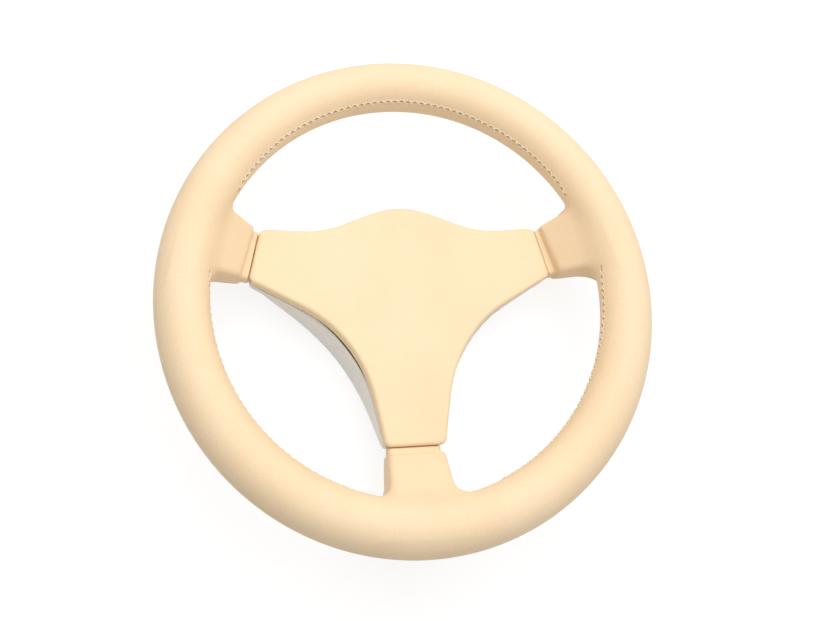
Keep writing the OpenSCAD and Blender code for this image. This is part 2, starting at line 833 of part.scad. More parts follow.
// Rear shroud: an outline like the pad's run back onto a shallow bowl, which passes close under
// the tongues, hollowed to an even wall
shroud_end_h = tongue_top - tongue_t - run_gap - shroud_t - pad_shroud_gap;
bowl_steps = 14;
function bowl_z(r) =
    shroud_end_h * pow(min(1, max(0, r - rest_r) / (leg_reach - rest_r)), bowl_power);
module bowl(lift) {
    reach = norm(arm_high) + 4;
    rotate_extrude()
        polygon(concat(
            [[0, lift]],
            [for (i = [0 : bowl_steps])
                let(r = rest_r + (leg_reach - rest_r) * i / bowl_steps)
                [r, bowl_z(r) + lift]],
            [[reach, shroud_end_h + lift], [reach, face_h], [0, face_h]]));
}
module shroud_form(d, lift, top) {
    intersection() {
        linear_extrude(top)
            polygon(inset(shroud_loop, d));
        bowl(lift);
    }
}
module rear_shroud() {
    post_z = bowl_z(screw_u) + shroud_t / 2;
    color([0.9, 0.88, 0.84])
        difference() {
            union() {
                difference() {
                    shroud_form(shroud_inset, 0, shroud_top);
                    shroud_form(shroud_inset + shroud_t, shroud_t, face_h);
                }
                disc(shroud_hole_r + shroud_t, 0, shroud_lip_h);
                at_all(screw_u)
                    disc(screw_d / 2 + 3.5, post_z, cast_z - post_z);
            }
            disc(shroud_hole_r, -1, shroud_lip_h + 2);
            at_all(screw_u) {
                disc(screw_d / 2 + 0.2, -1, cast_z + 2);
                disc(screw_d / 2 + 2.2, -1, screw_seat + 1);
            }
            at_spokes()
                slab(arm_bend($s), rim_r, $s[3] - 2 * tongue_step + 2 * run_gap,
                    tongue_top - tongue_t - run_gap, shroud_top + 1);
        }
}
screw_seat = bowl_z(screw_u) + 3.6;
module shroud_screws() {
    color([0.3, 0.3, 0.32])
        at_all(screw_u)
            difference() {
                union() {
                    disc(screw_d / 2, screw_seat, cast_top - 1 - screw_seat);
                    disc(screw_d / 2 + 2, screw_seat - 2.6, 2.6);
                }
                for (a = [0, 90])
                    rotate([0, 0, a])
                        translate([-0.5, -screw_d / 2, screw_seat - 3])
                            cube([1, screw_d, 1.8]);
            }
}

hub();
armature();
rivets();
rim_core();
rim_foam();
leather_wrap();
rear_shroud();
shroud_screws();
cancel_cam();
slip_ring();
horn_lead();
lead_terminal();
contact_plate();
plate_washers();
guide_bushes();
fixed_contacts();
horn_springs();
pad_cover();
pad_insert();
guide_pins();
moving_contacts();
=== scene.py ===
import math
import bpy
import numpy as np
from mathutils import Matrix, Vector


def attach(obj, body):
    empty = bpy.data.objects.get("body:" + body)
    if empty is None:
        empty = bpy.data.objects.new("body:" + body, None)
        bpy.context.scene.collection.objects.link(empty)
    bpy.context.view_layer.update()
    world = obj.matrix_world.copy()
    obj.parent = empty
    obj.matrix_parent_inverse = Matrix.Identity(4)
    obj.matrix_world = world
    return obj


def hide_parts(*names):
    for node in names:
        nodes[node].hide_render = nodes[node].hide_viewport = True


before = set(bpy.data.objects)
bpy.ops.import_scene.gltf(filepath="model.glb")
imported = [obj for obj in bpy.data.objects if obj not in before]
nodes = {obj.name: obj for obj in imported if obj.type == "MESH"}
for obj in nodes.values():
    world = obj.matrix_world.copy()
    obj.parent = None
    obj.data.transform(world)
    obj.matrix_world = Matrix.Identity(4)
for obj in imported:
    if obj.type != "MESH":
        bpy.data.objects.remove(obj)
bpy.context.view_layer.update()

# The wheel lies on its shroud and is photographed from above, from the lower left. The lens
# looks along its own axis, and the frame is the lower part of a larger picture, hence the shift.
PHOTO_WIDTH, FOCAL, BELOW_AXIS = 820, 890, 120      # in the photograph's pixels
SENSOR = 36
SIDEWAYS, FORWARD, ROLL = 0.21432, -0.37177, math.radians(-0.4)
eye = Vector((-0.1373, -0.1616, 0.6875))
turn = (Matrix.Rotation(SIDEWAYS, 3, "Y") @ Matrix.Rotation(FORWARD, 3, "X")
        @ Matrix.Rotation(ROLL, 3, "Z"))
lens = bpy.data.cameras.new("lens")
lens.sensor_width = SENSOR
lens.lens = FOCAL / PHOTO_WIDTH * SENSOR
lens.shift_y = -BELOW_AXIS / PHOTO_WIDTH
lens.clip_start = 0.01
camera = bpy.data.objects.new("camera", lens)
camera.matrix_world = Matrix.Translation(eye) @ turn.transposed().to_4x4()
bpy.context.collection.objects.link(camera)
bpy.context.scene.camera = camera
bpy.context.scene.view_settings.view_transform = "Standard"


class Wire:
    """One output of a node in a material. Sums and products of wires add Math nodes."""

    def __init__(self, socket):
        self.socket = socket

    def node(self, kind, settings=(), sockets=(), out=0):
        """One output of a new node, with its settings, and its inputs set or wired up."""
        tree = self.socket.id_data
        made = tree.nodes.new(kind)
        for name, value in dict(settings).items():
            setattr(made, name, value)
        for name, value in dict(sockets).items():
            if isinstance(value, Wire):
                tree.links.new(value.socket, made.inputs[name])
            else:
                made.inputs[name].default_value = value
        return Wire(made.outputs[out])

    def math(self, operation, *others):
        return self.node("ShaderNodeMath", {"operation": operation},
                         enumerate((self, *others)))

    def __add__(self, other):
        return self.math("ADD", other)

    def __mul__(self, other):
        return self.math("MULTIPLY", other)

    def __sub__(self, other):
        return self.math("SUBTRACT", other)

    def __rsub__(self, other):
        return (self * -1).math("ADD", other)

    __radd__ = __add__
    __rmul__ = __mul__

    def between(self, low, high):
        """0 at low, 1 at high, smooth between."""
        return self.node("ShaderNodeMapRange", {"interpolation_type": "SMOOTHSTEP"},
                         {"Value": self, "From Min": low, "From Max": high})

    def mix(self, first, second):
        """Colour first where the wire is 0, second where it is 1."""
        return self.node("ShaderNodeMix", {"data_type": "RGBA"},
                         {0: self, 6: (*first, 1), 7: (*second, 1)}, out=2)

    def noise(self, scale, detail=2.0, rough=0.5):
        """Clouds with scale waves to the metre."""
        return self.node("ShaderNodeTexNoise", {},
                         {"Vector": self, "Scale": scale, "Detail": detail, "Roughness": rough})

    def cells(self, scale, feature="F1"):
        """How far a place is from the middle of its pebble, or from the pebble's edge."""
        return self.node("ShaderNodeTexVoronoi", {"feature": feature},
                         {"Vector": self, "Scale": scale})

    def bump(self, depth, strength=1.0):
        """A normal from this height, where 1 stands depth metres proud."""
        return self.node("ShaderNodeBump", {}, {"Height": self, "Distance": depth,
                                                "Strength": strength})


def linear(red, green, blue):
    """A colour picked as it shows on screen, from 0 to 255."""
    return tuple(((c / 255 + 0.055) / 1.055) ** 2.4 if c > 10 else c / 255 / 12.92
                 for c in (red, green, blue))


def material(name, **fixed):
    """A new material with its fixed values, the place on its object, and a way to set the rest."""
    made = bpy.data.materials.new(name)
    made.use_nodes = True
    shader = made.node_tree.nodes["Principled BSDF"]
    for socket, value in fixed.items():
        value = (*value, 1) if isinstance(value, tuple) else value
        shader.inputs[socket.replace("_", " ")].default_value = value
    place = Wire(made.node_tree.nodes.new("ShaderNodeTexCoord").outputs["Object"])

    def dress(socket, wire):
        made.node_tree.links.new(wire.socket, shader.inputs[socket])

    return made, place, dress


# A white table takes the wheel. A bright room lights it from all round, apart from the side where
# the photographer stands, and a softbox over the wheel adds soft highlights. What the lens sees
# of table and room is close to white, apart from a faint shadow.
TABLE_HALF = 4
TABLE_GREY = 0.75                 # what it throws back on the wheel
TABLE_GLOW, SHADOWED = 0.74, 0.34  # what the lens sees of it: always there, and dimmed by shadow
ROOM, DARK_SIDE = 0.70, 0.38
TOWARD_LENS = (-0.5, -0.8, 0.33)
BOX_AT, BOX_WIDTH, BOX_WATTS = (0.02, 0.2, 0.8), 0.9, 4.5


def seen(place):
    """1 for what the lens sees directly, in a mirror or through glass."""
    path = place.node("ShaderNodeLightPath")
    tree = place.socket.id_data
    outputs = path.socket.node.outputs
    rays = [Wire(outputs[name]) for name in ("Is Camera Ray", "Is Glossy Ray",
                                             "Is Transmission Ray")]
    return (rays[0] + rays[1] + rays[2]).math("MINIMUM", 1)


mesh = bpy.data.meshes.new("table")
mesh.from_pydata([(x * TABLE_HALF, y * TABLE_HALF, 0)
                  for x, y in ((-1, -1), (1, -1), (1, 1), (-1, 1))], [], [(0, 1, 2, 3)])
table = bpy.data.objects.new("table", mesh)
bpy.context.collection.objects.link(table)
table_white, place, dress = material("table_white", Base_Color=(TABLE_GREY,) * 3,
                                     Roughness=0.9, Specular_IOR_Level=0.1)
tree = table_white.node_tree
lighting = Wire(tree.nodes["Principled BSDF"].outputs[0])
glow = place.node("ShaderNodeEmission", {}, {"Strength": TABLE_GLOW})
paint = place.node("ShaderNodeBsdfDiffuse", {}, {"Color": (SHADOWED, SHADOWED, SHADOWED, 1)})
shown = place.node("ShaderNodeAddShader", {}, {0: glow, 1: paint})
choice = place.node("ShaderNodeMixShader", {}, {0: seen(place), 1: lighting, 2: shown})
tree.links.new(choice.socket, tree.nodes["Material Output"].inputs["Surface"])
mesh.materials.append(table_white)

room = bpy.data.worlds.new("room")
bpy.context.scene.world = room
room.use_nodes = True
back = room.node_tree.nodes["Background"]
way = Wire(room.node_tree.nodes.new("ShaderNodeTexCoord").outputs[0])
dark = way.node("ShaderNodeVectorMath", {"operation": "DOT_PRODUCT"},
                {0: way, 1: TOWARD_LENS}, out=1).between(0.15, 0.85)
lit = ROOM - (ROOM - DARK_SIDE) * dark
strength = lit + seen(way) * (1 - lit)
room.node_tree.links.new(strength.socket, back.inputs["Strength"])
back.inputs["Color"].default_value = (1, 1, 1, 1)

light = bpy.data.lights.new("softbox", "AREA")
light.size = BOX_WIDTH
light.energy = BOX_WATTS
lamp = bpy.data.objects.new("softbox", light)
lamp.location = BOX_AT
lamp.rotation_euler = (Vector((0, 0, 0.05)) - Vector(BOX_AT)).to_track_quat("-Z", "Y").to_euler()
bpy.context.collection.objects.link(lamp)

# The rim and the ends of the spokes are one moulding of foam round a steel ring, with leather of
# 1.4 mm glued over it. The leather runs on over a low collar and a tongue at the end of each
# spoke, and the tongue passes under the pad. Sizes are in millimetres.
RIM_R, RIM_Z = 161.5, 82.0                          # the middle of the grip
HALF_W, HALF_H = 18.5, 20.0                         # half of its oval section
FACE_Z, SPOKE_T = 60.0, 24.0                        # front and thickness of a spoke at its end
CREST_IN, CREST_UP = 0.57 * HALF_W, 0.62 * HALF_H   # where its front runs into the grip
ROOT_IN, ROOT_DOWN = 0.19 * HALF_W, 0.85 * HALF_H   # where its back does
CORNER, END_EDGE = 4.5, 2.2                         # rounding of its long edges and its end
# A spoke points along tilt, lies rise to one side and begins at end. Each side moves out by flare
# for each millimetre along the spoke, and from foot on also by a fillet of radius blend. Both are
# given for the lower and the upper side. Its end leans by lean.
SIDE = dict(tilt=math.radians(12.5), rise=10.5, end=121.8, half=20.0, flare=(0.27, 0.15),
            blend=(18.0, 5.0), foot=136.5, lean=math.tan(math.radians(3)))
LEG = dict(tilt=math.radians(-90), rise=-0.9, end=111.3, half=20.3, flare=(0.14, 0.0),
           blend=(13.0, 10.0), foot=132.5, lean=0.0)
# Both stand length out of the spoke's end, step in from its sides, and lie between two heights.
TONGUE = dict(length=17.0, step=2.5, low=37.5, high=48.5, edge=0.4)
COLLAR = dict(length=4.8, step=1.25, low=37.5, high=51.5, edge=1.5)
INTO_SPOKE = 8
SIDE_FILLET, SOFTER_BELOW, LEG_FILLET = 8, 2, 9     # between the grip and its spokes


def join(a, b, k):
    """The nearer of two forms, with a soft fillet of about k between them."""
    return np.minimum(a, b) - np.maximum(k - np.abs(a - b), 0) ** 2 / (4 * k)


def both(a, b, k):
    """What two forms have in common, with its edge rounded over about k."""
    return -join(-a, -b, k)


def block(across, up, corner):
    """Distance to a long bar with rounded corners, from how far a point lies past its sides."""
    a, b = across + corner, up + corner
    return np.hypot(np.maximum(a, 0), np.maximum(b, 0)) + np.minimum(np.maximum(a, b), 0) - corner


def spoke(x, y, z, tilt, rise, end, half, flare, blend, foot, lean):
    """Distance to a spoke with its collar and tongue, and how far up across it a point lies."""
    u = x * math.cos(tilt) + y * math.sin(tilt)
    v = -x * math.sin(tilt) + y * math.cos(tilt) - rise
    t = np.clip((u - end) / (RIM_R - CREST_IN - end), 0, 1)
    high = FACE_Z + (RIM_Z + CREST_UP - FACE_Z) * t
    t = np.clip((u - end) / (RIM_R - ROOT_IN - end), 0, 1)
    low = FACE_Z - SPOKE_T + (RIM_Z - ROOT_DOWN - FACE_Z + SPOKE_T) * t ** 1.5
    r = np.where(v < 0, *blend)
    q = np.clip((u - foot) / r, 0, 0.97)
    wide = half + np.where(v < 0, *flare) * (u - end) + r * (1 - np.sqrt(1 - q * q))
    bar = block(np.abs(v) - wide, np.abs(z - (high + low) / 2) - (high - low) / 2, CORNER)
    bar = both(both(bar, end - u - lean * v, END_EDGE), u - RIM_R, 1)
    for part in (COLLAR, TONGUE):
        middle, tall = (part["high"] + part["low"]) / 2, (part["high"] - part["low"]) / 2
        stub = block(np.abs(v) - (half - part["step"]), np.abs(z - middle) - tall, 3)
        stub = both(stub, end - part["length"] - u, part["edge"])
        stub = both(stub, u - end - INTO_SPOKE, 1)
        bar = join(bar, stub, 0.8)
    return bar, v


def grip_form(x, y, z):
    """Distance to the leather: an oval ring with its three spokes, less than 0 inside."""
    across, up = np.hypot(x, y) - RIM_R, z - RIM_Z
    f = np.hypot(across / HALF_W, up / HALF_H)
    g = np.hypot(across / HALF_W ** 2, up / HALF_H ** 2) + 1e-9
    ring = f * (f - 1) / g
    side, v = spoke(np.abs(x), y, z, **SIDE)
    upper = np.clip(v / 12, -1, 1)
    ring = join(ring, side, SIDE_FILLET - SOFTER_BELOW * upper)
    return join(ring, spoke(x, y, z, **LEG)[0], LEG_FILLET)


def seat(form, points, times=3, h=0.05, reach=1.5):
    """The points moved onto the surface of a form, and the surface's normals there."""
    for _ in range(times):
        x, y, z = points.T
        slope = np.stack([form(x + h, y, z) - form(x - h, y, z),
                          form(x, y + h, z) - form(x, y - h, z),
                          form(x, y, z + h) - form(x, y, z - h)], 1) / (2 * h)
        size = (slope ** 2).sum(1, keepdims=True) + 1e-9
        move = form(x, y, z)[:, None] * slope / size
        points = points - np.clip(move, -reach, reach)
    return points, slope / np.sqrt(size)


def skin_of(form, xs, ys, zs):
    """Quads over the surface of a form: one point in each cell of a grid that it passes."""
    inside = form(*np.meshgrid(xs, ys, zs, indexing="ij")) < 0
    count = sum(inside[i:inside.shape[0] - 1 + i, j:inside.shape[1] - 1 + j,
                       k:inside.shape[2] - 1 + k].astype(np.int8)
                for i in (0, 1) for j in (0, 1) for k in (0, 1))
    used = (count > 0) & (count < 8)
    number = np.full(used.shape, -1)
    number[used] = np.arange(used.sum())
    i, j, k = np.nonzero(used)
    points = np.stack([(xs[i] + xs[i + 1]) / 2, (ys[j] + ys[j + 1]) / 2,
                       (zs[k] + zs[k + 1]) / 2], 1)
    quads = []
    for axis in range(3):
        one, two = [a for a in range(3) if a != axis]
        core = [slice(1, -1)] * 3
        core[axis] = slice(None)
        here = inside[tuple(core)]
        first = np.take(here, range(here.shape[axis] - 1), axis)
        second = np.take(here, range(1, here.shape[axis]), axis)
        at = np.stack(np.nonzero(first != second), 1)
        out = first[tuple(at.T)]
        at[:, one] += 1
        at[:, two] += 1
        ring = []
        for a, b in ((-1, -1), (0, -1), (0, 0), (-1, 0)):
            c = at.copy()
            c[:, one] += a
            c[:, two] += b
            ring.append(number[tuple(c.T)])
        ring = np.stack(ring, 1)
        flip = out if axis != 1 else ~out
        quads.append(np.where(flip[:, None], ring, ring[:, ::-1]))
    quads = np.concatenate(quads)
    points, _ = seat(form, points, 4)
    ends = np.concatenate([quads[:, [0, 1]], quads[:, [1, 2]], quads[:, [2, 3]], quads[:, [3, 0]]])
    for _ in range(3):
        total = np.zeros_like(points)
        np.add.at(total, ends[:, 0], points[ends[:, 1]])
        np.add.at(total, ends[:, 1], points[ends[:, 0]])
        share = np.bincount(ends.ravel(), minlength=len(points))[:, None]
        points, _ = seat(form, points * 0.5 + total / share * 0.5, 1)
    points, _ = seat(form, points, 2)
    return points, quads


def piece(name, points, faces, look, body):
    """A mesh piece from points in millimetres, dressed and riding on its body."""
    mesh = bpy.data.meshes.new(name)
    mesh.from_pydata((np.asarray(points) * 0.001).tolist(), [], [list(f) for f in faces])
    mesh.polygons.foreach_set("use_smooth", [True] * len(mesh.polygons))
    mesh.materials.append(look)
    mesh.validate()
    made = bpy.data.objects.new(name, mesh)
    bpy.context.collection.objects.link(made)
    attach(made, body)
    return made


def steps(*marks):
    """Grid lines from mark to mark, as (start, step), (start, step), ..., end."""
    lines = [np.arange(a, b - step * 0.5, step) for (a, step), b in
             zip(marks[:-1], [m[0] if isinstance(m, tuple) else m for m in marks[1:]])]
    return np.concatenate(lines + [[marks[-1]]])


def leather(name, shade, deep, pores=1500):
    """Dyed leather: soft grain, a little darker in the pores, with faint patches of tone."""
    look, place, dress = material(name, Specular_IOR_Level=0.4)
    drift = place.node("ShaderNodeTexNoise", {}, {"Vector": place, "Scale": 420.0}, out=1)
    warp = drift.node("ShaderNodeVectorMath", {"operation": "MULTIPLY_ADD"},
                      {0: drift, 1: (0.0006, 0.0006, 0.0006), 2: place})
    creases = warp.cells(pores * 0.45, "DISTANCE_TO_EDGE").between(0.0, 0.22)
    pebbles = warp.cells(pores)
    patches = place.noise(14, 3)
    fine = place.noise(pores * 2.2, 3)
    height = creases * 0.6 + (1 - pebbles) * 0.35 + fine * 0.25
    tone = patches.between(0.35, 0.7) * 0.10 + (1 - creases) * 0.12 + fine * 0.03
    dress("Base Color", tone.mix(shade, deep))
    dress("Roughness", 0.46 + patches * 0.12 + (1 - creases) * 0.12)
    dress("Normal", height.bump(0.00018, 0.4))
    return look


rim_leather = leather("rim_leather", linear(251, 225, 187), linear(220, 176, 132))
lines_x = steps((-184, 2.0), (-130, 1.0), (-98, 2.0), (98, 1.0), (130, 2.0), 184)
lines_y = steps((-184, 2.0), (-128, 1.0), (-90, 2.0), (-6, 1.25), (62, 2.0), 184)
lines_z = steps((32, 1.0), (60, 2.0), 106)
points, quads = skin_of(grip_form, lines_x, lines_y, lines_z)
grip = piece("leather_grip", points, quads, rim_leather, "wheel")
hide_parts("leather_wrap", "rim_foam")

# The leather's two edges meet on the inner side of the rim and are laced together by hand with a
# pale thread in crossed stitches. It was laced by eye, so it lies higher round the top of the rim
# than round its sides. It runs out on the side spokes, and turns to the rear at the lower one.
SEAM_AT = [-90, -30, -20, -8, 5, 30, 65, 90, 130, 150, 180, 270]            # degrees round the rim
SEAM_ANGLE = [186, 186, 182, 172, 168, 165, 160, 153, 154, 162, 182, 186]   # and round the grip
SEAM_STEP, SEAM_TURN = 0.4, 12
SLIT_DEEP, SLIT_HALF = 0.12, 0.55
STITCH, HALF_STITCH, THREAD_R = 13, 1.9, 0.5        # steps to a stitch, its half width, the thread
RISE, OVER = 0.42, 0.18                             # how far it stands up, and the upper one more
UNLACED = 4                                         # steps without stitches at a seam's ends
thread, place, dress = material("thread", Roughness=0.7, Sheen_Weight=0.2)
twist = place.node("ShaderNodeTexWave", {"bands_direction": "DIAGONAL"},
                   {"Vector": place, "Scale": 900.0, "Distortion": 0.0})
dress("Base Color", twist.mix(linear(240, 222, 190), linear(255, 246, 226)))
dress("Normal", twist.bump(0.0001, 0.5))
# The slit between the leather's edges is a thin dark tube sunk in the seam. Its tan colour is
# painted shade, standing in for the shadow down in the groove.
slit_painted_shade, place, dress = material("seam_painted_shade", Roughness=0.8)
dress("Base Color", place.noise(600).mix(linear(176, 134, 96), linear(206, 166, 126)))


def seam_path(start, end, first_turn, last_turn):
    """Points along a seam from spoke to spoke on the leather. Its ends turn round the grip."""
    length = math.radians(end - start) * (RIM_R - HALF_W)
    s = np.linspace(0, length, int(length / SEAM_STEP) + 1)
    phi = math.radians(start) + s / (RIM_R - HALF_W)
    angle = np.interp(np.degrees(phi), SEAM_AT, SEAM_ANGLE)
    for turned, near in ((first_turn, s), (last_turn, length - s)):
        t = np.clip(1 - near / SEAM_TURN, 0, 1)
        angle = angle + (turned - angle) * t * t * (3 - 2 * t)
    angle = np.radians(angle)
    radius = RIM_R + HALF_W * np.cos(angle)
    path = np.stack([radius * np.cos(phi), radius * np.sin(phi),
                     RIM_Z + HALF_H * np.sin(angle)], 1)
    return seat(grip_form, path, 3)


def tube(path, ups, radius, flat, pinch, sides=6):
    """Points and faces of a thread along a path, flattened by flat and narrowed at its ends."""
    along = np.gradient(path, axis=0)
    along /= np.linalg.norm(along, axis=1, keepdims=True)
    side = np.cross(along, ups)
    side /= np.linalg.norm(side, axis=1, keepdims=True)
    up = np.cross(side, along)
    size = np.full(len(path), radius)
    size[[0, -1]] *= pinch
    a = np.arange(sides) * 2 * math.pi / sides
    rings = (path[:, None] + size[:, None, None]
             * (np.cos(a)[None, :, None] * side[:, None] + flat * np.sin(a)[None, :, None]
                * up[:, None]))
    faces = [(r * sides + i, r * sides + (i + 1) % sides, (r + 1) * sides + (i + 1) % sides,
              (r + 1) * sides + i) for r in range(len(path) - 1) for i in range(sides)]
    faces += [tuple(range(sides))[::-1], tuple((len(path) - 1) * sides + i for i in range(sides))]
    return rings.reshape(-1, 3), faces


def bundle(parts):
    """Many small meshes as one."""
    points, faces, base = [], [], 0
    for p, f in parts:
        points.append(p)
        faces += [tuple(base + i for i in face) for face in f]
        base += len(p)
    return np.concatenate(points), faces


# Where each seam starts and ends round the rim, and then round the grip, in degrees.
seams = [(29.5, 150.5, 170, 170), (-71.5, 5.5, 222, 160), (174.5, 251.5, 160, 222)]
seam_shadow_tubes, stitches = [], []
for seam in seams:
    path, normal = seam_path(*seam)
    seam_shadow_tubes.append(tube((path - normal * SLIT_DEEP)[::6], normal[::6], SLIT_HALF, 0.6, 1))
    across = np.cross(np.gradient(path, axis=0), normal)
    across /= np.linalg.norm(across, axis=1, keepdims=True)
    for first in range(UNLACED, len(path) - STITCH - UNLACED, STITCH):
        for slant in (-1, 1):
            t = np.linspace(-1, 1, 7)
            at = np.round(first + (t + 1) / 2 * (STITCH - 2)).astype(int)
            line = path[at] + across[at] * (slant * HALF_STITCH * t)[:, None]
            line, up = seat(grip_form, line, 2)
            lift = RISE * (1 - t * t) + (OVER * (1 - np.abs(t)) if slant > 0 else 0)
            stitches.append(tube(line + up * lift[:, None], up, THREAD_R, 0.85, 0.5))
# The dark tube along each seam is painted shade in the groove between the leather's edges.
seam_shadow_tube = piece("seam_slit_painted_shade", *bundle(seam_shadow_tubes), slit_painted_shade, "wheel")
lacing = piece("seam_lacing", *bundle(stitches), thread, "wheel")

# The horn pad is a soft moulding of foam with a skin, crowned a little in the middle and rounded
# at its edge. It is hollow behind, where the steel insert is moulded in, and has a channel for
# the tongue of each spoke. It rides on three pins, so it can be pressed anywhere.
PAD_BASE, PAD_TOP, CROWN, EDGE = 44.5, 54.0, 2.5, 2.8
WALL, HOLLOW_Z = 4, 48.6
PLAY, CHANNEL_Z, CHANNEL_LONG = 0.6, 51.0, 12       # room beside, over and past a tongue
LEG_REACH, ARM_REACH = 106.0, 116.5                 # ends of the arms from the axis
LEG_HALF, ARM_HALF = 21.65, 19.6                    # and half their width there
LEG_EDGE, ARM_EDGE = math.radians(79.3), math.radians(28.8)     # edges that meet at the waist
PAD_CORNER, WAIST_R = 4.5, 98                       # roundings of the corners and the waist
TOP_Y, HUMP, HUMP_HALF, HORN_UP, TOP_END = 53.5, 18, 70, 3.2, 104    # the upper edge


def toward(a, b):
    return (b - a) / np.linalg.norm(b - a)


def rounded(a, b, c, r, n):
    """The corner at b between a and c, rounded with radius r in n steps."""
    u, v = toward(b, a), toward(b, c)
    half = math.acos(np.clip(u @ v, -1, 1)) / 2
    middle = b + (u + v) / np.linalg.norm(u + v) * r / math.sin(half)
    start = b + u * r / math.tan(half) - middle
    turn = (math.pi - 2 * half) * np.sign(u[1] * v[0] - u[0] * v[1])
    w = np.linspace(0, turn, n + 1)[:, None]
    return middle + np.concatenate([start[0] * np.cos(w) - start[1] * np.sin(w),
                                    start[0] * np.sin(w) + start[1] * np.cos(w)], 1)


def on_side(u, v):
    """A point in the axes of the right spoke, seen from the front."""
    c, s = math.cos(SIDE["tilt"]), math.sin(SIDE["tilt"])
    v = v + SIDE["rise"]
    return np.array([u * c - v * s, u * s + v * c])


def pad_outline():
    """The pad's outline from the front, as a closed loop of fine steps."""
    low, high = on_side(ARM_REACH, -ARM_HALF), on_side(ARM_REACH, ARM_HALF)
    foot = np.array([LEG_HALF, -LEG_REACH])
    a = np.array([math.cos(ARM_EDGE), math.sin(ARM_EDGE)])
    b = np.array([math.cos(LEG_EDGE), math.sin(LEG_EDGE)])
    gap = foot - low
    waist = low + a * (gap[0] * b[1] - gap[1] * b[0]) / (a[0] * b[1] - a[1] * b[0])
    x = np.linspace(0, TOP_END, 90)
    top = (TOP_Y + HUMP * (1 + np.cos(math.pi * np.minimum(1, x / HUMP_HALF))) / 2
           + HORN_UP * (np.maximum(0, x - HUMP_HALF) / (ARM_REACH - HUMP_HALF)) ** 1.5)
    upper = np.stack([x, top], 1)
    keep = upper[upper[:, 0] < high[0] - 6]
    right = np.concatenate([
        [[0, -LEG_REACH]], rounded(np.array([0, -LEG_REACH]), foot, waist, PAD_CORNER, 10),
        rounded(foot, waist, low, WAIST_R, 40), rounded(waist, low, high, PAD_CORNER, 10),
        rounded(low, high, keep[-1], PAD_CORNER, 10), keep[:0:-1]])
    return np.concatenate([right, [keep[0]], right[:0:-1] * [-1, 1]])


def from_outline(x, y):
    """Signed distance from the pad's outline, less than 0 inside."""
    outline = pad_outline()
    flat = np.stack([np.ravel(x), np.ravel(y)], 1)
    best = np.full(len(flat), 1e9)
    inside = np.zeros(len(flat), bool)
    for p, q in zip(outline, np.roll(outline, -1, 0)):
        edge = q - p
        rel = flat - p
        t = np.clip(rel @ edge / (edge @ edge + 1e-12), 0, 1)
        best = np.minimum(best, np.hypot(rel[:, 0] - t * edge[0], rel[:, 1] - t * edge[1]))
        cross = (p[1] > flat[:, 1]) != (q[1] > flat[:, 1])
        meet = edge[0] * (flat[:, 1] - p[1]) / (edge[1] if edge[1] else 1e-12) + p[0]
        inside ^= cross & (flat[:, 0] < meet)
    return np.where(inside, -best, best).reshape(np.shape(x))


CELL, LEFT, FOOT, HEAD = 0.5, -121, -111, 77
near_x, near_y = np.arange(LEFT, 0.1 - LEFT, CELL), np.arange(FOOT, HEAD + 0.1, CELL)
near = from_outline(*np.meshgrid(near_x, near_y, indexing="ij"))


def edge_of_pad(x, y):
    """The same distance, read between the points of a fine grid."""
    i = np.clip((x - LEFT) / CELL, 0, len(near_x) - 1.001)
    j = np.clip((y - FOOT) / CELL, 0, len(near_y) - 1.001)
    a, b = i.astype(int), j.astype(int)
    i, j = i - a, j - b
    return ((near[a, b] * (1 - i) + near[a + 1, b] * i) * (1 - j)
            + (near[a, b + 1] * (1 - i) + near[a + 1, b + 1] * i) * j)


def channels(x, y, z):
    """Distance to the three channels under the pad that the tongues run in."""
    found = None
    for s, px in ((SIDE, np.abs(x)), (LEG, x)):
        u = px * math.cos(s["tilt"]) + y * math.sin(s["tilt"])
        v = -px * math.sin(s["tilt"]) + y * math.cos(s["tilt"]) - s["rise"]
        one = np.maximum(np.maximum(np.abs(v) - (s["half"] - TONGUE["step"] + PLAY),
                                    s["end"] - TONGUE["length"] - CHANNEL_LONG - u),
                         z - CHANNEL_Z)
        found = one if found is None else np.minimum(found, one)
    return found


def pad_form(x, y, z):
    """Distance to the pad's moulding, less than 0 inside."""
    side = edge_of_pad(x, y)
    crown = CROWN * (1 - (x * x + y * y) / ARM_REACH ** 2)
    shell = block(side, z - PAD_TOP - crown, EDGE)
    shell = both(shell, PAD_BASE - z, 0.8)
    hollow = np.maximum(side + WALL, z - HOLLOW_Z)
    shell = both(shell, -hollow, 0.5)
    return both(shell, -channels(x, y, z), 0.5)


pad_skin = leather("pad_skin", linear(251, 229, 190), linear(222, 180, 136), 1900)
points, quads = skin_of(pad_form, steps((-119, 1.1), 119), steps((-109, 1.1), 76),
                        steps((42.9, 0.9), 58.2))
pad = piece("pad_moulding", points, quads, pad_skin, "horn_pad")
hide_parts("pad_cover")


# The rear shroud is a thin bowl, moulded from grey-white plastic with a fine grain. It hides the
# hub, and three screws from behind hold it to the arms of the casting. Like all the pieces
# below, it keeps the CAD's shape, with crisp edges and curved faces shaded smooth.
def smooth_faces(node, angle=28):
    """Shades a CAD node's curved faces smooth and keeps its sharp edges."""
    made = nodes[node]
    made.data.polygons.foreach_set("use_smooth", [True] * len(made.data.polygons))
    weld = made.modifiers.new("weld", "WELD")
    weld.merge_threshold = 0.00001
    split = made.modifiers.new("edges", "EDGE_SPLIT")
    split.split_angle = math.radians(angle)


def give(look, *names):
    """Dresses CAD nodes in a material."""
    for name in names:
        slots = nodes[name].data.materials
        if not len(slots):
            slots.append(look)
        for i in range(len(slots)):
            slots[i] = look
        smooth_faces(name)


shroud_plastic, place, dress = material("shroud_plastic", Specular_IOR_Level=0.4)
grain = place.cells(2600) * 0.6 + place.noise(5200, 2) * 0.4
patches = place.noise(18, 3)
dress("Base Color", patches.between(0.3, 0.75).mix(linear(252, 251, 247), linear(248, 246, 239)))
dress("Roughness", 0.44 + grain * 0.2)
dress("Normal", grain.bump(0.00006, 0.6))
give(shroud_plastic, "rear_shroud")

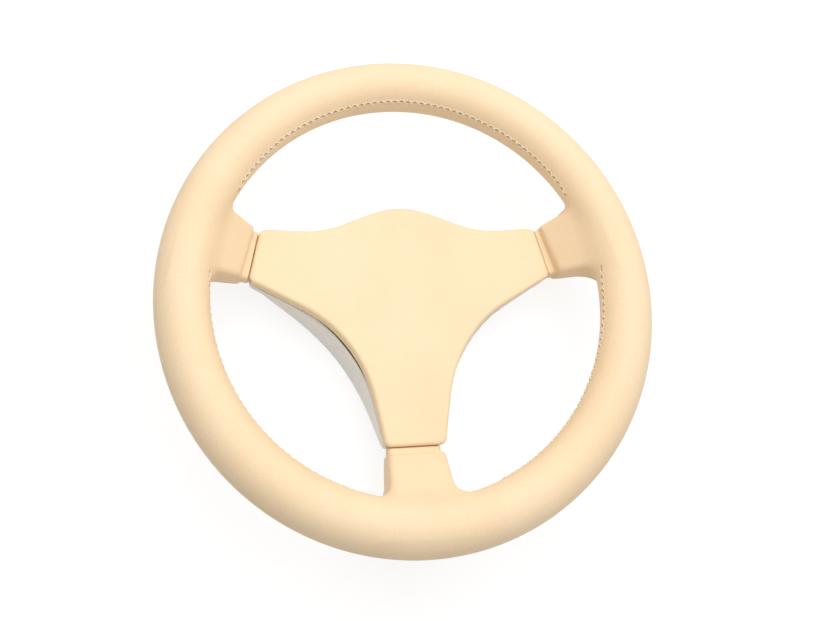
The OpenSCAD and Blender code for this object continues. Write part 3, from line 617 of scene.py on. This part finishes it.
# The casting is a plate of aluminium with three arms, still sandy from its mould. It is riveted to
# the hub's flange, and its clamps are cast round the ring in the rim.
cast, place, dress = material("cast_aluminium", Metallic=0.9, Specular_IOR_Level=0.5)
sand = place.noise(900, 4, 0.65)
dress("Base Color", sand.between(0.3, 0.7).mix(linear(150, 152, 154), linear(196, 198, 200)))
dress("Roughness", 0.42 + sand * 0.3)
dress("Normal", sand.bump(0.0002, 0.7))
give(cast, "armature")

# The hub is turned from steel, so its faces carry fine rings about the axis. It is splined to the
# column and clamped by the car's nut. The ring in the rim is steel too, bent round and welded.
turned, place, dress = material("turned_steel", Metallic=1.0)
split = place.node("ShaderNodeSeparateXYZ", {}, {0: place})
x, y, z = (Wire(out) for out in split.socket.node.outputs)
radius = (x * x + y * y).math("SQRT")
rings = (radius * 22000 + z * 9000).math("SINE") * 0.5 + 0.5
stain = place.noise(60, 3)
dress("Base Color", stain.between(0.3, 0.8).mix(linear(168, 170, 174), linear(140, 138, 136)))
dress("Roughness", 0.26 + rings * 0.1 + stain * 0.12)
dress("Normal", rings.bump(0.00003, 0.5))
give(turned, "hub", "rim_core")

# Rivets, insert and contact plate are pressed from zinc plated steel, with a faint warm tint. The
# insert is moulded in the pad, and the bushes hold the contact plate, insulated, on the casting.
plated, place, dress = material("plated_steel", Metallic=1.0)
bloom = place.noise(160, 4, 0.6)
dress("Base Color", bloom.between(0.3, 0.7).mix(linear(196, 192, 176), linear(172, 172, 168)))
dress("Roughness", 0.3 + bloom * 0.2)
dress("Normal", place.noise(1500, 2).bump(0.00004, 0.5))
give(plated, "contact_plate", "pad_insert", "rivets")

# Pins and springs are bright drawn steel, with marks along their length. The pins are screwed into
# the insert and slide in the bushes, and the springs round them push the pad forward.
bright, place, dress = material("bright_steel", Metallic=1.0)
drawn = place.node("ShaderNodeMapping", {}, {"Vector": place, "Scale": (1, 1, 0.08)}).noise(4000)
dress("Base Color", drawn.mix(linear(176, 178, 184), linear(206, 208, 212)))
dress("Roughness", 0.2 + drawn * 0.14)
dress("Normal", drawn.bump(0.00002, 0.5))
give(bright, "guide_pins", "horn_springs")

# The shroud's three screws are blackened steel, with the black rubbed off in places. They go
# through the posts of the shroud into the casting's arms.
black, place, dress = material("black_screws", Metallic=0.85)
rub = place.noise(700, 3).between(0.62, 0.75)
dress("Base Color", rub.mix(linear(40, 40, 42), linear(112, 110, 108)))
dress("Roughness", 0.5 - rub * 0.15)
give(black, "shroud_screws")

# The contacts are copper rivets in insert and contact plate. Slip ring and terminal are pressed
# from brass. All are dulled between the rubbed places.
for name, bare, dull, used in (
        ("copper", (214, 142, 104), (158, 98, 70), ("fixed_contacts", "moving_contacts")),
        ("brass", (222, 188, 112), (164, 132, 76), ("slip_ring", "lead_terminal"))):
    look, place, dress = material(name, Metallic=1.0)
    film = place.noise(320, 4).between(0.42, 0.68)
    dress("Base Color", film.mix(linear(*bare), linear(*dull)))
    dress("Roughness", 0.2 + film * 0.22)
    dress("Normal", place.noise(2400).bump(0.00002, 0.4))
    give(look, *used)

# Cancel cam and guide bushes are moulded in a slippery off-white plastic. The cam is pressed on
# the back of the hub, and the bushes snap through contact plate, washer and arm.
slippery, place, dress = material("slippery_plastic", Subsurface_Weight=0.05)
swirl = place.noise(45, 3)
dress("Base Color", swirl.mix(linear(232, 226, 208), linear(222, 214, 192)))
dress("Roughness", 0.34 + swirl * 0.12)
dress("Normal", place.noise(3000).bump(0.00003, 0.4))
give(slippery, "cancel_cam", "guide_bushes")

# The washers are stamped from red-brown fibre board, whose strands run one way. They lie between
# contact plate and casting and keep the horn's current off the wheel.
fibre, place, dress = material("fibre_board", Roughness=0.75)
drawn_out = place.node("ShaderNodeMapping", {}, {"Vector": place, "Scale": (1, 0.2, 4)})
strands = drawn_out.noise(2600, 3)
dress("Base Color", strands.mix(linear(122, 54, 38), linear(158, 84, 60)))
dress("Normal", strands.bump(0.00006, 0.6))
give(fibre, "plate_washers")

# The horn's lead is a wire in red insulation with a slight waxy bloom. It is pushed on the slip
# ring's tail behind, and crimped in the terminal in front.
insulation, place, dress = material("red_insulation")
wax = place.noise(500, 3)
dress("Base Color", wax.mix(linear(176, 32, 26), linear(196, 58, 44)))
dress("Roughness", 0.36 + wax * 0.2)
give(insulation, "horn_lead")
